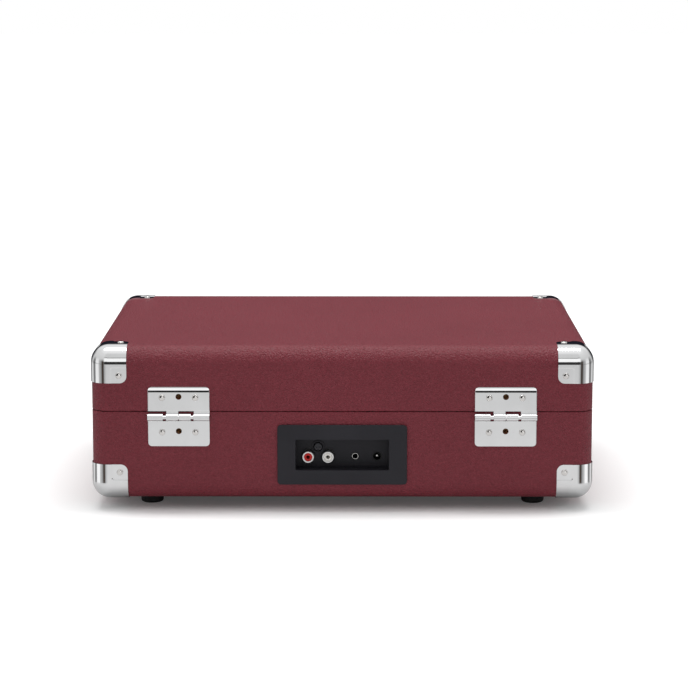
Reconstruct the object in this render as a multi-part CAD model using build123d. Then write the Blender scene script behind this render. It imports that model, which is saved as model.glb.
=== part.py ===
from build123d import *
import math
import os

# Suitcase record player: a two-part leatherette case on rear stop hinges, with metal corners, snap hasps,
# a bail handle and a recessed jack panel, holding a belt-driven platter, a tonearm, speakers and controls.
#
# Millimetres. +Z is up, -Y is the front with the handle, +Y is the back with the hinges and the jack panel.
# The origin is the centre of the bounding box's floor, so the feet stand on Z = 0.

os.makedirs("parts", exist_ok=True)

# ---- Driving dimensions: the case ----
CASE_W, CASE_D = 354.0, 262.0
FOOT_H, BASE_H, LID_H = 8.4, 63.6, 45.6
EDGE_R = 12.0            # rounding of every outer edge of the case
RIM_R = 0.6              # rounding of the covering where the two halves meet
SKIN = 0.7               # leatherette
WALL = 7.0               # board sides
FLOOR_T, LID_TOP_T = 4.0, 5.0
LINING = 0.8
RIM_GAP = 0.4            # gap between the closed halves
TURN_IN = 6.0            # how far the leatherette is folded down inside a rim
CAVITY_R = 5.0

# ---- Hinges and handle, which set how far the part reaches past the case ----
BARREL_R, PIN_R = 2.7, 1.4
HINGE_OFF = 2.9          # hinge axis, out from the back face
HINGE_DROP = 3.7         # hinge axis, below the parting plane
HANDLE_PIVOT_OFF = 6.0
GRIP_OFF, GRIP_THICK, GRIP_TALL = 7.2, 13.6, 17.0

HINGE_OUT = HINGE_OFF + BARREL_R
HANDLE_OUT = GRIP_OFF + GRIP_THICK / 2
CASE_Y = (HANDLE_OUT - HINGE_OUT) / 2      # centre of the case, so that the bounding box is centred
FRONT, BACK = CASE_Y - CASE_D / 2, CASE_Y + CASE_D / 2
HALF_W = CASE_W / 2
CASE_BOTTOM = FOOT_H
PARTING = FOOT_H + BASE_H
CASE_TOP = PARTING + LID_H
BASE_RIM, LID_RIM = PARTING - RIM_GAP / 2, PARTING + RIM_GAP / 2
INNER = SKIN + WALL                        # inset of the board's inner faces
CEILING = CASE_TOP - SKIN - LID_TOP_T - LINING
RUN = 0.05                                 # radial clearance of a running fit
HOLE = 0.05                                # radial clearance round a rivet or screw

# ---- Metal corners and rivets ----
CORNER = 25.5
CORNER_T = 0.7
CORNER_POCKET = 0.4                        # lowered square that the rivet sits in
POCKET_AT, POCKET_SLOPE = 14.0, 0.8
CORNER_RIVET = 20.0
RIVET_R, RIVET_H = 2.3, 1.1
CROWN_R, RIM_ROUND = 10.0, 0.7             # of a rivet's head
SHANK_R, SHANK_L = 1.0, 5.0

# ---- Hinges ----
HINGE_X = 115.0
HINGE_W = 43.5
LEAF_T = 1.1
LEAF_REACH = 21.2
# Spans of the rolled knuckles along the pin: the first and third are the base leaf's.
KNUCKLES = ((11.0, 21.75), (0.25, 8.6), (-8.6, -0.25), (-21.75, -10.7))
LIP_R, LIP_LONG = 9.0, 3.7                 # the lid leaf's far edge curves in to the case
LID_RIVET_UP, BASE_RIVET_DOWN = 13.7, 10.9
HINGE_RIVET_X = 11.7
SPARE_HOLE_R = 2.1
HINGE_Y, HINGE_Z = BACK + HINGE_OFF, PARTING - HINGE_DROP

# ---- Deck, platter and drive ----
DECK_TOP, DECK_T = 68.0, 2.5
DECK_GAP = 0.5
SPINDLE_X, SPINDLE_Y = -20.0, CASE_Y - 24.0
SPINDLE_TOP = 91.0
TUB_R, TUB_TOP = 88.0, 58.0
PLATTER_R, PLATTER_LOW, PLATTER_TOP = 94.0, 71.0, 76.0
RING_R, RING_T = 68.0, 3.0
MAT_R, MAT_T = 90.5, 1.5
SPINDLE_R, SHAFT_R = 3.55, 4.0
BUSH_R = 6.0
MOTOR_REACH, MOTOR_ANGLE = 79.0, 135.0     # motor axis, seen from the spindle
PULLEY_R = 3.0
BELT_T, BELT_LOW, BELT_HIGH, BELT_GAP = 0.6, 63.0, 67.0, 0.1
MOTOR_R, MOTOR_H = 18.0, 25.0
MOTOR_X = SPINDLE_X + MOTOR_REACH * math.cos(math.radians(MOTOR_ANGLE))
MOTOR_Y = SPINDLE_Y + MOTOR_REACH * math.sin(math.radians(MOTOR_ANGLE))

# ---- Tonearm ----
ARM_X, ARM_Y = 142.0, CASE_Y + 80.0
ARM_Z = 92.5
ARM_LENGTH = 185.0                         # pivot to stylus
TUBE_R = 4.0
STYLUS_Z = 79.3                            # the top of a record lying on the mat
REST_REACH = 118.0
LIFT_REACH = 40.0
LIFT_GAP = 0.4

# ---- Jack panel ----
BEZEL_W, BEZEL_H, BEZEL_PROUD = 91.4, 42.8, 1.6
BEZEL_Z = 41.1
RECESS_W, RECESS_H, RECESS_DEEP = 66.0, 22.0, 11.7
PANEL_T = 1.5
RCA_X = (24.2, 10.1)
RCA_Z = 38.0
RCA_R, RCA_LONG = 4.15, 6.4
RCA_ROOT_R = 3.9         # the sleeve's thinner root, inside the housing
RCA_INNER_R = 2.9
RCA_CUT_R = 5.0
JACK_Z = 37.6
AUX_X, DC_X = -9.2, -24.7
PANEL_SCREW_X, PANEL_SCREW_Z = 17.15, 44.6

# ---- Front ----
GRILLE_X, GRILLE_Z = 105.0, 35.6
GRILLE_W, GRILLE_H, GRILLE_PROUD = 84.0, 29.5, 1.8
SOUND_W, SOUND_H = 69.0, 22.0
LATCH_X = 80.0
HASP_AXIS_Z, HASP_AXIS_OFF = 56.0, 3.2
HANDLE_X, HANDLE_Z, HANDLE_DROP = 52.0, 46.0, 24.0

AMP_Z = 55.0
KNOBS = ((114.0, CASE_Y - 106.0), (86.0, CASE_Y - 108.0))
KNOB_R, KNOB_H = 9.0, 7.5


# ---- Small helpers ----
def save(name, *solids):
    """Writes one node's file. Several solids make one node, as a group of separate pieces."""
    shape = solids[0] if len(solids) == 1 else Compound(children=list(solids))
    export_step(shape, f"parts/{name}.step")


def block(x, y, z):
    """A box between the two limits given for each axis."""
    size = [abs(high - low) for low, high in (x, y, z)]
    middle = [(low + high) / 2 for low, high in (x, y, z)]
    return Pos(*middle) * Box(*size)


def rod_z(x, y, z, r):
    return Pos(x, y, sum(z) / 2) * Cylinder(r, abs(z[1] - z[0]))


def rod_y(x, y, z, r):
    return Pos(x, sum(y) / 2, z) * Rot(90, 0, 0) * Cylinder(r, abs(y[1] - y[0]))


def rod_x(x, y, z, r):
    return Pos(sum(x) / 2, y, z) * Rot(0, 90, 0) * Cylinder(r, abs(x[1] - x[0]))


def slab_y(x, z, width, height, y, corner_r):
    """A rounded rectangle in the XZ plane, given depth along Y."""
    profile = RectangleRounded(width, height, corner_r)
    return Pos(x, max(y), z) * Rot(90, 0, 0) * extrude(profile, abs(y[1] - y[0]))


def slab_z(x, y, width, depth, z, corner_r):
    """A rounded rectangle in the XY plane, given height along Z."""
    return Pos(x, y, min(z)) * extrude(RectangleRounded(width, depth, corner_r), abs(z[1] - z[0]))


def on_both_sides(shape):
    return shape, mirror(shape, about=Plane.YZ)


MID_Y = Plane(origin=(0, CASE_Y, 0), x_dir=(1, 0, 0), z_dir=(0, 1, 0))
FACING = {"+x": Rot(0, 90, 0), "-x": Rot(0, -90, 0), "+y": Rot(-90, 0, 0), "-y": Rot(90, 0, 0),
          "+z": Rot(0, 0, 0), "-z": Rot(180, 0, 0)}


def rivet(x, y, z, facing):
    """A rivet whose low rounded head sits on the point and faces the way given."""
    head = Pos(0, 0, RIVET_H / 2) * Cylinder(RIVET_R, RIVET_H)
    head = head & Pos(0, 0, RIVET_H - CROWN_R) * Sphere(CROWN_R)
    rim_z = RIVET_H - CROWN_R + math.sqrt(CROWN_R ** 2 - RIVET_R ** 2)
    head = fillet(head.edges().filter_by(lambda e: abs(e.center().Z - rim_z) < 1e-4), RIM_ROUND)
    shank = Pos(0, 0, -SHANK_L / 2) * Cylinder(SHANK_R, SHANK_L)
    return Pos(x, y, z) * FACING[facing] * (head + shank)


def rivet_hole(x, y, z, facing):
    length = SHANK_L + 2 * HOLE
    return Pos(x, y, z) * FACING[facing] * Pos(0, 0, -length / 2) * Cylinder(SHANK_R + HOLE, length)


def cross_screw(x, y, z, facing, head_r=2.8, head_h=1.6, length=7.0):
    """A pan-head screw with a cross recess. Its head's underside sits on the point."""
    head = Pos(0, 0, head_h / 2) * Cylinder(head_r, head_h)
    head = fillet(head.edges().group_by(Axis.Z)[-1], head_h * 0.45)
    slot_w, slot_l, slot_h = head_r * 0.28, head_r * 1.25, head_h * 0.6
    for turn in (0, 90):
        head -= Pos(0, 0, head_h) * Rot(0, 0, turn) * Box(slot_l, slot_w, 2 * slot_h)
    shank = Pos(0, 0, -length / 2) * Cylinder(1.4, length)
    return Pos(x, y, z) * FACING[facing] * (head + shank)


def screw_hole(x, y, z, facing, length=7.0):
    at_point = Pos(x, y, z) * FACING[facing]
    return at_point * Pos(0, 0, -length / 2) * Cylinder(1.4 + HOLE, length + 2 * HOLE)


# ---- The two case halves ----
def case_half(grow, flat_z, rim_z, rim_r=0.0):
    """A block with rounded upright edges and a rounded flat side. grow moves its outer faces outward."""
    half = block((-HALF_W - grow, HALF_W + grow), (FRONT - grow, BACK + grow), (flat_z, rim_z))
    flat = half.edges().filter_by(Plane.XY).sort_by(lambda e: abs(e.center().Z - flat_z))[:4]
    half = fillet(half.edges().filter_by(Axis.Z) + flat, EDGE_R + grow)
    if rim_r:
        half = fillet(half.edges().filter_by(lambda e: abs(e.center().Z - rim_z) < 1e-4), rim_r)
    return half


def inner_box(inset, z, corner_r=CAVITY_R):
    return slab_z(0, CASE_Y, CASE_W - 2 * inset, CASE_D - 2 * inset, z, corner_r)


def covered_half(flat_z, rim_z, panel_t):
    """The board and its leatherette for one half of the case, before any holes."""
    inward = 1 if rim_z > flat_z else -1
    core_flat, core_rim = flat_z + inward * SKIN, rim_z - inward * SKIN
    cavity_z = core_flat + inward * panel_t
    past_rim = rim_z + inward * 5
    outer = case_half(0, flat_z, rim_z, RIM_R)
    core_block = case_half(-SKIN, core_flat, core_rim)
    cavity = inner_box(INNER, (cavity_z, past_rim))
    turn_low = rim_z - inward * TURN_IN
    turn_in = inner_box(INNER, (turn_low, core_rim))
    mouth = inner_box(INNER + SKIN, (turn_low - inward, past_rim), CAVITY_R - SKIN)
    skin = outer - core_block - mouth + (turn_in - mouth)
    return core_block - cavity, skin


def corner_planes(height):
    """Three planes just outside the -X -Y -Z corner of a box at the origin, each facing inward."""
    return [Plane(origin=(0, 0, height), x_dir=(1, 0, 0), z_dir=(0, 0, 1)),
            Plane(origin=(height, 0, 0), x_dir=(0, 1, 0), z_dir=(1, 0, 0)),
            Plane(origin=(0, height, 0), x_dir=(0, 0, 1), z_dir=(0, 1, 0))]


def square_from(start, end, corner_r):
    """A square between the two limits on both axes, with its corner nearest the origin rounded."""
    square = Pos((start + end) / 2, (start + end) / 2) * Rectangle(end - start, end - start)
    return fillet(square.vertices().sort_by(lambda v: v.X + v.Y)[:1], corner_r)


def corner_blank(flat_z, rim_z):
    """One metal corner, for the case's -X -Y corner of that half: three flaps, each with a sunk square."""
    up = 1 if rim_z > flat_z else -1
    plate = case_half(CORNER_T, flat_z - up * CORNER_T, rim_z) - case_half(0, flat_z, rim_z)
    reach = CORNER + 2
    flap = Pos((CORNER - 2) / 2, (CORNER - 2) / 2) * Rectangle(reach, reach)
    flap = fillet(flap.vertices().sort_by(lambda v: v.X + v.Y)[-1:], 5.0)
    region = Box(4 * CORNER, 4 * CORNER, 4 * CORNER)
    for plane in corner_planes(-3):
        region &= extrude(plane * flap, 3 + reach)
    sunk = CORNER_POCKET - CORNER_T
    clear = sunk - 3 * CORNER_POCKET
    for low, high in zip(corner_planes(sunk), corner_planes(clear)):
        floor = low * square_from(POCKET_AT + POCKET_SLOPE, reach, 1.2)
        mouth = high * square_from(POCKET_AT - 2 * POCKET_SLOPE, reach, 3.0)
        region -= loft([floor, mouth])
    if up < 0:
        region = mirror(region, about=Plane.XY)
    return plate & Pos(-HALF_W, FRONT, flat_z) * region


def four_corners(blank):
    left = [blank, mirror(blank, about=MID_Y)]
    return left + [mirror(piece, about=Plane.YZ) for piece in left]


def corner_rivets(flat_z, up):
    lift = CORNER_T - CORNER_POCKET
    spots = []
    for sx in (-1, 1):
        for sy in (-1, 1):
            x_in, y_in = sx * (HALF_W - CORNER_RIVET), CASE_Y + sy * (CASE_D / 2 - CORNER_RIVET)
            z_in = flat_z + up * CORNER_RIVET
            spots.append((sx * (HALF_W + lift), y_in, z_in, "+x" if sx > 0 else "-x"))
            spots.append((x_in, CASE_Y + sy * (CASE_D / 2 + lift), z_in, "+y" if sy > 0 else "-y"))
            spots.append((x_in, y_in, flat_z - up * lift, "-z" if up > 0 else "+z"))
    return spots


# ---- Hinges ----
def hinge_leaf(is_lid):
    """One leaf about X = 0: a stamped plate, two rolled knuckles, rivet holes and a spare hole."""
    side = 1 if is_lid else -1
    plate_near = PARTING + 0.4 if is_lid else HINGE_Z - BARREL_R - 0.35
    plate_far = HINGE_Z + side * LEAF_REACH
    outer_y = BACK + LEAF_T
    leaf = block((-HINGE_W / 2, HINGE_W / 2), (BACK, outer_y), sorted((plate_near, plate_far)))
    far_corners = leaf.edges().filter_by(Axis.Y).sort_by(lambda e: -side * e.center().Z)[:2]
    leaf = fillet(far_corners, 2.8)
    rim = leaf.faces().sort_by(Axis.Y)[-1].edges()
    leaf = fillet(rim.sort_by(lambda e: side * e.center().Z)[1:], 0.45)
    if is_lid:
        tangent_z = plate_far - LIP_LONG
        past_lip = block((-HINGE_W, HINGE_W), (BACK - 1, outer_y + 1), (tangent_z, plate_far + 1))
        leaf -= past_lip - rod_x((-2 * HINGE_W, 2 * HINGE_W), outer_y - LIP_R, tangent_z, LIP_R)
    sheet_y = BACK + HINGE_OFF - BARREL_R
    for span in KNUCKLES[1::2] if is_lid else KNUCKLES[0::2]:
        neck = block(span, (sheet_y, sheet_y + LEAF_T), sorted((HINGE_Z, plate_near + side * 0.5)))
        leaf += rod_x(span, HINGE_Y, HINGE_Z, BARREL_R) + neck
    leaf -= rod_x((-HINGE_W, HINGE_W), HINGE_Y, HINGE_Z, PIN_R + RUN)
    rivet_z = HINGE_Z + (LID_RIVET_UP if is_lid else -BASE_RIVET_DOWN)
    leaf -= rod_y(0, (BACK - 1, BACK + 3), rivet_z + 0.7, SPARE_HOLE_R)
    for x in (-HINGE_RIVET_X, HINGE_RIVET_X):
        leaf -= rod_y(x, (BACK - 1, BACK + 3), rivet_z, SHANK_R + HOLE)
    return leaf


def hinge_rivets(is_lid):
    z = HINGE_Z + (LID_RIVET_UP if is_lid else -BASE_RIVET_DOWN)
    return [(side * HINGE_X + x, BACK + LEAF_T, z, "+y")
            for side in (-1, 1) for x in (-HINGE_RIVET_X, HINGE_RIVET_X)]


def spare_holes(is_lid):
    z = HINGE_Z + (LID_RIVET_UP if is_lid else -BASE_RIVET_DOWN) + 0.7
    return [rod_y(side * HINGE_X, (BACK - 6.4, BACK + 1), z, SPARE_HOLE_R - 0.1) for side in (-1, 1)]


# ---- Snap hasps ----
LATCH_W, LATCH_T = 26.0, 1.0
HASP_W, HASP_TOP = 18.0, 86.0
HASP_IN, HASP_T = 2.85, 0.95               # the hasp's inner face, out from the front face, and its thickness
LATCH_RIVET_X = 8.5
STRIKE_RIVET_Z, PLATE_RIVET_Z = 86.5, 65.5


def latch_plate():
    """The hasp's seat on the base: a plate and two knuckles for the hasp's pin."""
    plate = slab_y(0, (HASP_AXIS_Z - 4.5 + BASE_RIM - 0.6) / 2, LATCH_W, BASE_RIM - 0.6 - HASP_AXIS_Z + 4.5,
                   (FRONT - LATCH_T, FRONT), 2.0)
    axis_y = FRONT - HASP_AXIS_OFF
    for low, high in ((-LATCH_W / 2, -HASP_W / 2 - 0.4), (HASP_W / 2 + 0.4, LATCH_W / 2)):
        web = block((low, high), (axis_y, FRONT - LATCH_T / 2), (HASP_AXIS_Z - 1.9, HASP_AXIS_Z + 1.9))
        plate += rod_x((low, high), axis_y, HASP_AXIS_Z, 1.9) + web
    return plate - rod_x((-LATCH_W, LATCH_W), axis_y, HASP_AXIS_Z, 1.0 + RUN)


def latch_hasp():
    """The swinging hasp: a rolled knuckle, a plate over the rim, a stiffening bead and a finger curl."""
    axis_y = FRONT - HASP_AXIS_OFF
    inner, outer = FRONT - HASP_IN, FRONT - HASP_IN - HASP_T
    plate = block((-HASP_W / 2, HASP_W / 2), (outer, inner), (HASP_AXIS_Z, HASP_TOP))
    knuckle = rod_x((-HASP_W / 2, HASP_W / 2), axis_y, HASP_AXIS_Z, 1.9)
    curl = rod_x((-HASP_W / 2 + 2, HASP_W / 2 - 2), inner - 2.2, HASP_TOP - 0.2, 2.2)
    curl -= rod_x((-HASP_W, HASP_W), inner - 2.2, HASP_TOP - 0.2, 2.2 - HASP_T)
    curl -= block((-HASP_W, HASP_W), (inner - 6, inner - 2.2), (HASP_TOP - 4, HASP_TOP))
    bead = rod_x((-HASP_W / 2 + 2.5, HASP_W / 2 - 2.5), outer, 79.0, 1.3)
    bead &= block((-HASP_W, HASP_W), (outer - 3, inner - 0.2), (70, 90))
    hasp = plate + knuckle + bead
    hasp = hasp - block((-HASP_W, HASP_W), (inner - 10, FRONT), (HASP_TOP - 0.2, HASP_TOP + 5)) + curl
    return hasp - rod_x((-HASP_W, HASP_W), axis_y, HASP_AXIS_Z, 1.0 + RUN)


def latch_strike():
    """The strike on the lid, with the rounded bead that the hasp snaps over."""
    low, high = LID_RIM + 0.8, 90.0
    plate = slab_y(0, (low + high) / 2, LATCH_W, high - low, (FRONT - LATCH_T, FRONT), 2.0)
    bead = rod_x((-6, 6), FRONT - LATCH_T, 79.0, 1.2) & block((-6, 6), (FRONT - 3, FRONT - 0.5), (70, 90))
    return plate + bead


# ---- Handle ----
def handle_bracket():
    plate = slab_y(HANDLE_X, HANDLE_Z, 13.0, 22.0, (FRONT - 1.2, FRONT), 3.0)
    boss = rod_x((HANDLE_X - 4.5, HANDLE_X + 4.5), FRONT - HANDLE_PIVOT_OFF, HANDLE_Z, 4.2)
    web_y, web_z = (FRONT - HANDLE_PIVOT_OFF, FRONT - 0.6), (HANDLE_Z - 4.2, HANDLE_Z + 4.2)
    web = block((HANDLE_X - 4.5, HANDLE_X + 4.5), web_y, web_z)
    bore = rod_x((HANDLE_X - 9, HANDLE_X + 9), FRONT - HANDLE_PIVOT_OFF, HANDLE_Z, 2.5 + RUN)
    return plate + boss + web - bore


def handle_frame():
    """The bent wire of the bail, with its ends turned into the brackets."""
    y_pivot, y_grip = FRONT - HANDLE_PIVOT_OFF, FRONT - GRIP_OFF
    inner_x = HANDLE_X - 9.5
    path = FilletPolyline((HANDLE_X + 4.0, y_pivot, HANDLE_Z), (inner_x, y_pivot, HANDLE_Z),
                          (inner_x, y_grip, HANDLE_Z - HANDLE_DROP),
                          (-inner_x, y_grip, HANDLE_Z - HANDLE_DROP),
                          (-inner_x, y_pivot, HANDLE_Z), (-HANDLE_X - 4.0, y_pivot, HANDLE_Z), radius=4.0)
    start = Plane(origin=path @ 0, z_dir=path % 0)
    return sweep(start * Circle(2.5), path=path)


def handle_grip():
    """The padded grip over the frame's straight run."""
    z = HANDLE_Z - HANDLE_DROP
    y = FRONT - GRIP_OFF
    half = HANDLE_X - 16.0
    body = Pos(-half, y, z) * Rot(0, 90, 0) * extrude(RectangleRounded(GRIP_TALL, GRIP_THICK, 6.2), 2 * half)
    ends = body.edges().filter_by(lambda e: abs(abs(e.center().X) - half) < 1e-3)
    body = fillet(ends, 3.0)
    return body - rod_x((-half - 1, half + 1), y, z, 2.5 + HOLE)


# ---- Jack panel at the back ----
def jack_bezel():
    flange = slab_y(0, BEZEL_Z, BEZEL_W, BEZEL_H, (BACK, BACK + BEZEL_PROUD), 2.6)
    flange = fillet(flange.faces().sort_by(Axis.Y)[-1].edges(), 0.5)
    tub_w, tub_h = RECESS_W + 2 * PANEL_T, RECESS_H + 2 * PANEL_T
    wall_y = BACK - RECESS_DEEP
    tub = slab_y(0, BEZEL_Z, tub_w, tub_h, (wall_y - PANEL_T, BACK), 1.0)
    recess = slab_y(0, BEZEL_Z, RECESS_W, RECESS_H, (wall_y, BACK + 5), 0.5)
    bezel = flange + tub - recess
    ring = rod_y(PANEL_SCREW_X, (wall_y, wall_y + 1.2), PANEL_SCREW_Z, 4.2)
    ring -= rod_y(PANEL_SCREW_X, (wall_y, wall_y + 1.2), PANEL_SCREW_Z, 3.5)
    bezel += ring
    for x in RCA_X:
        bezel -= rod_y(x, (wall_y - 5, wall_y + 5), RCA_Z, RCA_CUT_R)
    bezel -= rod_y(AUX_X, (wall_y - 5, wall_y + 5), JACK_Z, 3.0)
    bezel -= rod_y(DC_X, (wall_y - 5, wall_y + 5), JACK_Z, 3.6)
    return bezel - rod_y(PANEL_SCREW_X, (wall_y - 5, wall_y + 0.4), PANEL_SCREW_Z, 1.4 + HOLE)


def rca_block():
    """The twin socket's housing behind the panel, whose face shows in the round cut-outs."""
    wall_y = BACK - RECESS_DEEP
    middle = sum(RCA_X) / 2
    body_y = (wall_y - PANEL_T - 9, wall_y - PANEL_T)
    body = block((middle - 13, middle + 13), body_y, (RCA_Z - 7, RCA_Z + 12))
    for x in RCA_X:
        body -= rod_y(x, (wall_y - 7, wall_y + 1), RCA_Z, RCA_ROOT_R + HOLE)
    return body - rod_y(PANEL_SCREW_X, (wall_y - 9, wall_y + 1), PANEL_SCREW_Z, 1.4 + HOLE)


def rca_sleeve(x):
    wall_y = BACK - RECESS_DEEP
    tube = rod_y(x, (wall_y - PANEL_T, wall_y + RCA_LONG), RCA_Z, RCA_R)
    tube += rod_y(x, (wall_y - 6.5, wall_y - PANEL_T), RCA_Z, RCA_ROOT_R)
    tube -= rod_y(x, (wall_y - 5, wall_y + RCA_LONG + 1), RCA_Z, RCA_INNER_R)
    return chamfer(tube.edges().filter_by(GeomType.CIRCLE).sort_by(Axis.Y)[-2:], 0.25)


def rca_insulator(x):
    wall_y = BACK - RECESS_DEEP
    plug = rod_y(x, (wall_y - 5, wall_y + RCA_LONG - 0.4), RCA_Z, RCA_INNER_R - HOLE)
    return plug - rod_y(x, (wall_y - 3, wall_y + RCA_LONG), RCA_Z, 1.3)


def aux_jack():
    wall_y = BACK - RECESS_DEEP
    body_y = (wall_y - PANEL_T - 12, wall_y - PANEL_T)
    body = block((AUX_X - 4.5, AUX_X + 4.5), body_y, (JACK_Z - 4.5, JACK_Z + 4.5))
    body += rod_y(AUX_X, (wall_y - PANEL_T - 1, wall_y + 0.3), JACK_Z, 2.9)
    return body - rod_y(AUX_X, (wall_y - 11, wall_y + 1), JACK_Z, 1.8)


def dc_jack():
    wall_y = BACK - RECESS_DEEP
    body = block((DC_X - 5, DC_X + 5), (wall_y - PANEL_T - 12, wall_y - PANEL_T), (JACK_Z - 5, JACK_Z + 5))
    body += rod_y(DC_X, (wall_y - PANEL_T - 1, wall_y + 0.1), JACK_Z, 3.5)
    body -= rod_y(DC_X, (wall_y - 9.5, wall_y + 1), JACK_Z, 2.8)
    return body + rod_y(DC_X, (wall_y - 11, wall_y - 1.0), JACK_Z, 1.0)


def jack_board():
    """The upright board that carries the sockets, on the housings' inner faces."""
    y = BACK - RECESS_DEEP - PANEL_T - 12
    return block((-34, 3), (y - 1.6, y), (JACK_Z - 12, JACK_Z + 12))


# ---- Speakers ----
def sound_hole(side, y):
    return slab_y(side * GRILLE_X, GRILLE_Z, SOUND_W, SOUND_H, y, SOUND_H / 2 - 0.1)


def speaker_grille(side):
    plate = slab_y(side * GRILLE_X, GRILLE_Z, GRILLE_W, GRILLE_H, (FRONT - GRILLE_PROUD, FRONT), 6.0)
    plate = fillet(plate.faces().sort_by(Axis.Y)[0].edges(), 0.8)
    plug = slab_y(side * GRILLE_X, GRILLE_Z, SOUND_W - 1, SOUND_H - 1, (FRONT, FRONT + 4), SOUND_H / 2 - 0.6)
    plug -= slab_y(side * GRILLE_X, GRILLE_Z, SOUND_W - 4, SOUND_H - 4, (FRONT, FRONT + 5), SOUND_H / 2 - 2.1)
    pitch, slots = 3.6, 5
    for i in range(slots):
        z = GRILLE_Z + (i - (slots - 1) / 2) * pitch
        half_slot = 29.0 - 3.0 * abs(i - (slots - 1) / 2)
        plate -= slab_y(side * GRILLE_X, z, 2 * half_slot, 2.0, (FRONT - 5, FRONT + 1), 0.95)
    return plate + plug


SPEAKER_Y = FRONT + INNER


def speaker_frame(side):
    x = side * GRILLE_X
    plate = slab_y(x, GRILLE_Z, 74.0, 34.0, (SPEAKER_Y, SPEAKER_Y + 1.5), 8.0)
    plate -= Pos(x, SPEAKER_Y + 3, GRILLE_Z) * Rot(90, 0, 0) * extrude(Ellipse(30, 13), 8)
    leg = block((-3, 3), (SPEAKER_Y + 1.5, SPEAKER_Y + 15), (-1, 1))
    legs = [Pos(x + sx * 17, 0, GRILLE_Z + sz * 14) * leg for sx in (-1, 1) for sz in (-1, 1)]
    back = slab_y(x, GRILLE_Z, 42.0, 30.0, (SPEAKER_Y + 15, SPEAKER_Y + 16.5), 6.0)
    return plate + legs + back


def cone_oval(x, y, half_w, half_h):
    return Plane(origin=(x, y, GRILLE_Z), x_dir=(1, 0, 0), z_dir=(0, 1, 0)) * Ellipse(half_w, half_h)


def speaker_cone(side):
    x = side * GRILLE_X
    outer = [cone_oval(x, SPEAKER_Y + 1.6, 29.6, 12.6), cone_oval(x, SPEAKER_Y + 11.5, 9, 6.5)]
    inner = [cone_oval(x, SPEAKER_Y + 1.5, 28.8, 11.8), cone_oval(x, SPEAKER_Y + 10.7, 8, 5.5)]
    return loft(outer) - loft(inner)


def speaker_magnet(side):
    x = side * GRILLE_X
    return rod_y(x, (SPEAKER_Y + 16.5, SPEAKER_Y + 25), GRILLE_Z, 15.0)


# ---- Deck and drive ----
ADAPTER_X, ADAPTER_Y = -134.0, CASE_Y + 98.0
ADAPTER_R, WELL_R, WELL_TOP = 19.0, 19.8, 63.0
SPEED_X, SPEED_Y = 96.0, CASE_Y + 106.0
AUTO_X, AUTO_Y = 60.0, CASE_Y + 112.0
PHONES_X, PHONES_Y = 60.0, CASE_Y - 114.0
LED_X, LED_Y = 100.0, CASE_Y - 117.0
DECK_SCREW_X, DECK_SCREW_Y = 163.5, 112.0
LIFT_ANGLE = 30.0
LIFT_POST = (ARM_X - LIFT_REACH * math.sin(math.radians(LIFT_ANGLE)),
             ARM_Y - LIFT_REACH * math.cos(math.radians(LIFT_ANGLE)))
DECK_SCREWS = [(sx * DECK_SCREW_X, CASE_Y + sy * DECK_SCREW_Y) for sx in (-1, 1) for sy in (-1, 1)]
MOTOR_SCREW_R = 12.5
MOTOR_SCREWS = [(MOTOR_X + MOTOR_SCREW_R * math.cos(math.radians(turn)),
                 MOTOR_Y + MOTOR_SCREW_R * math.sin(math.radians(turn))) for turn in (65, 205, 315)]


def deck_plate():
    """The moulded deck: a flat top, a round tub for the drive, a well for the adapter, and its holes."""
    low = DECK_TOP - DECK_T
    inset = INNER + SKIN + DECK_GAP
    plate = inner_box(inset, (low, DECK_TOP), CAVITY_R - SKIN)
    plate = fillet(plate.edges().group_by(Axis.Z)[-1], 1.0)
    deck = plate + rod_z(SPINDLE_X, SPINDLE_Y, (TUB_TOP - DECK_T, low), TUB_R + DECK_T)
    deck -= rod_z(SPINDLE_X, SPINDLE_Y, (TUB_TOP, DECK_TOP + 1), TUB_R)
    deck += rod_z(ADAPTER_X, ADAPTER_Y, (WELL_TOP - DECK_T, low), WELL_R + DECK_T)
    deck -= rod_z(ADAPTER_X, ADAPTER_Y, (WELL_TOP, DECK_TOP + 1), WELL_R)
    through = (TUB_TOP - 10, DECK_TOP + 5)
    deck -= rod_z(SPINDLE_X, SPINDLE_Y, through, BUSH_R + HOLE)
    deck -= rod_z(MOTOR_X, MOTOR_Y, through, 7.0)
    for x, y in MOTOR_SCREWS:
        deck -= rod_z(x, y, through, 1.4 + HOLE)
    deck -= rod_z(ARM_X, ARM_Y, through, 7.0)
    deck -= rod_z(*LIFT_POST, through, 2.5 + RUN + 0.3)
    for x, y in KNOBS:
        deck -= rod_z(x, y, through, 3.6)
    deck -= slab_z(SPEED_X, SPEED_Y, 19.0, 4.0, through, 1.9)
    deck -= slab_z(AUTO_X, AUTO_Y, 13.0, 4.0, through, 1.9)
    deck -= rod_z(PHONES_X, PHONES_Y, through, 3.1)
    deck -= rod_z(LED_X, LED_Y, through, 1.6)
    for x, y in DECK_SCREWS:
        deck -= rod_z(x, y, through, 1.4 + HOLE)
    return deck


def deck_batten():
    """The strip along a side wall that the deck lies on."""
    low, high = DECK_TOP - DECK_T - 10, DECK_TOP - DECK_T
    batten = block((HALF_W - INNER - 10, HALF_W - INNER), (FRONT + INNER + 5, BACK - INNER - 5), (low, high))
    for x, y in DECK_SCREWS:
        if x > 0:
            batten -= rod_z(x, y, (low, high + 1), 1.4 + HOLE)
    return batten


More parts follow.
